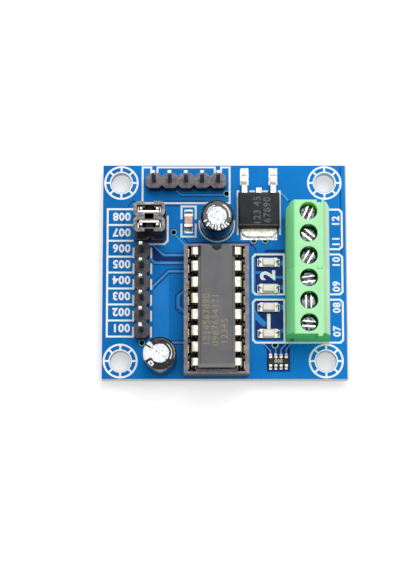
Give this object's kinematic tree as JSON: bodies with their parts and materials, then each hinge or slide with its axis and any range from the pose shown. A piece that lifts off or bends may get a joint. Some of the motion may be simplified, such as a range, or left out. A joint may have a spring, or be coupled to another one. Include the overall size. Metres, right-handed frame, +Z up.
{
  "type": "motor driver module",
  "caption": "Motor driver board with a socketed driver chip, a screw terminal with rising clamps, pin headers, pull-off jumper caps and small parts.",
  "frame": {"origin": "centre of the four mounting holes, on the underside of the board", "axes": "+Z up out of the board's component side, +X towards the screw terminal, +Y towards the supply header"},
  "size_m": [0.0388, 0.0346, 0.0116],
  "materials": {
    "board_laminate": "solder-resist gloss",
    "tinned_copper": "tinned",
    "legend_ink": "printed",
    "solder": "bright",
    "socket_black": "moulded",
    "contact_bronze": "plated",
    "mould_grey": "moulded",
    "lead_tin": "tinned",
    "terminal_green": "moulded",
    "strap_tin": "tinned",
    "screw_zinc": "zinc plated",
    "clamp_zinc": "zinc plated",
    "header_charcoal": "moulded",
    "pin_tin": "tinned",
    "jumper_black": "moulded",
    "can_aluminium": "drawn",
    "sleeve_black": "shrunk",
    "seal_rubber": "moulded",
    "ceramic_salmon": "fired",
    "mould_black": "moulded",
    "lamp_cream": "fired",
    "lamp_resin": "cast"
  },
  "bodies": {
    "board": {"circuit_board": "board_laminate", "tinned_pads": "tinned_copper", "legend_print": "legend_ink", "through_hole_solder": "solder", "surface_solder": "solder", "socket_frame": "socket_black", "socket_contacts": "contact_bronze", "driver_chip_body": "mould_grey", "driver_chip_leads": "lead_tin", "terminal_housing_1": "terminal_green", "terminal_housing_2": "terminal_green", "terminal_straps": "strap_tin", "input_header_strip": "header_charcoal", "input_header_pins": "pin_tin", "enable_header_strip": "header_charcoal", "enable_header_pins": "pin_tin", "supply_header_strip": "header_charcoal", "supply_header_pins": "pin_tin", "capacitor_can_1": "can_aluminium", "capacitor_can_2": "can_aluminium", "capacitor_sleeve_1": "sleeve_black", "capacitor_sleeve_2": "sleeve_black", "capacitor_seal_1": "seal_rubber", "capacitor_seal_2": "seal_rubber", "capacitor_leads_1": "lead_tin", "capacitor_leads_2": "lead_tin", "ceramic_capacitor_body": "ceramic_salmon", "ceramic_capacitor_ends": "lead_tin", "regulator_body": "mould_black", "regulator_leadframe": "lead_tin", "lamp_base_1": "lamp_cream", "lamp_base_2": "lamp_cream", "lamp_base_3": "lamp_cream", "lamp_base_4": "lamp_cream", "lamp_lens_1": "lamp_resin", "lamp_lens_2": "lamp_resin", "lamp_lens_3": "lamp_resin", "lamp_lens_4": "lamp_resin", "lamp_terminals": "lead_tin", "resistor_array_body": "mould_black", "resistor_array_terminals": "lead_tin"},
    "screw_1": {"clamp_screw_1": "screw_zinc"},
    "clamp_1": {"wire_clamp_1": "clamp_zinc"},
    "screw_2": {"clamp_screw_2": "screw_zinc"},
    "clamp_2": {"wire_clamp_2": "clamp_zinc"},
    "screw_3": {"clamp_screw_3": "screw_zinc"},
    "clamp_3": {"wire_clamp_3": "clamp_zinc"},
    "screw_4": {"clamp_screw_4": "screw_zinc"},
    "clamp_4": {"wire_clamp_4": "clamp_zinc"},
    "screw_5": {"clamp_screw_5": "screw_zinc"},
    "clamp_5": {"wire_clamp_5": "clamp_zinc"},
    "screw_6": {"clamp_screw_6": "screw_zinc"},
    "clamp_6": {"wire_clamp_6": "clamp_zinc"},
    "jumper_1": {"jumper_shell_1": "jumper_black", "jumper_clip_1": "pin_tin"},
    "jumper_2": {"jumper_shell_2": "jumper_black", "jumper_clip_2": "pin_tin"}
  },
  "joints": [
    {"name": "screw_turn_1", "type": "hinge", "parent": "board", "child": "screw_1", "pos_m": [0.01315, 0.008, 0.0091], "axis": [0, 0, -1], "range_deg": [0, 1525]},
    {"name": "clamp_rise_1", "type": "slide", "parent": "board", "child": "clamp_1", "axis": [0, 0, 1], "range_m": [0, 0.00169]},
    {"name": "screw_turn_2", "type": "hinge", "parent": "board", "child": "screw_2", "pos_m": [0.01315, 0.0045, 0.0091], "axis": [0, 0, -1], "range_deg": [0, 1525]},
    {"name": "clamp_rise_2", "type": "slide", "parent": "board", "child": "clamp_2", "axis": [0, 0, 1], "range_m": [0, 0.00169]},
    {"name": "screw_turn_3", "type": "hinge", "parent": "board", "child": "screw_3", "pos_m": [0.01315, 0.001, 0.0091], "axis": [0, 0, -1], "range_deg": [0, 1525]},
    {"name": "clamp_rise_3", "type": "slide", "parent": "board", "child": "clamp_3", "axis": [0, 0, 1], "range_m": [0, 0.00169]},
    {"name": "screw_turn_4", "type": "hinge", "parent": "board", "child": "screw_4", "pos_m": [0.01315, -0.0025, 0.0091], "axis": [0, 0, -1], "range_deg": [0, 1525]},
    {"name": "clamp_rise_4", "type": "slide", "parent": "board", "child": "clamp_4", "axis": [0, 0, 1], "range_m": [0, 0.00169]},
    {"name": "screw_turn_5", "type": "hinge", "parent": "board", "child": "screw_5", "pos_m": [0.01315, -0.006, 0.0091], "axis": [0, 0, -1], "range_deg": [0, 1525]},
    {"name": "clamp_rise_5", "type": "slide", "parent": "board", "child": "clamp_5", "axis": [0, 0, 1], "range_m": [0, 0.00169]},
    {"name": "screw_turn_6", "type": "hinge", "parent": "board", "child": "screw_6", "pos_m": [0.01315, -0.0095, 0.0091], "axis": [0, 0, -1], "range_deg": [0, 1525]},
    {"name": "clamp_rise_6", "type": "slide", "parent": "board", "child": "clamp_6", "axis": [0, 0, 1], "range_m": [0, 0.00169]},
    {"name": "jumper_pull_1", "type": "slide", "parent": "board", "child": "jumper_1", "axis": [0, 0, 1], "range_m": [0, 0.0065]},
    {"name": "jumper_pull_2", "type": "slide", "parent": "board", "child": "jumper_2", "axis": [0, 0, 1], "range_m": [0, 0.0065]}
  ],
  "couplings": [
    {"joint": "screw_turn_1", "follows": "clamp_rise_1", "rad_per_m": 15708},
    {"joint": "screw_turn_2", "follows": "clamp_rise_2", "rad_per_m": 15708},
    {"joint": "screw_turn_3", "follows": "clamp_rise_3", "rad_per_m": 15708},
    {"joint": "screw_turn_4", "follows": "clamp_rise_4", "rad_per_m": 15708},
    {"joint": "screw_turn_5", "follows": "clamp_rise_5", "rad_per_m": 15708},
    {"joint": "screw_turn_6", "follows": "clamp_rise_6", "rad_per_m": 15708}
  ]
}
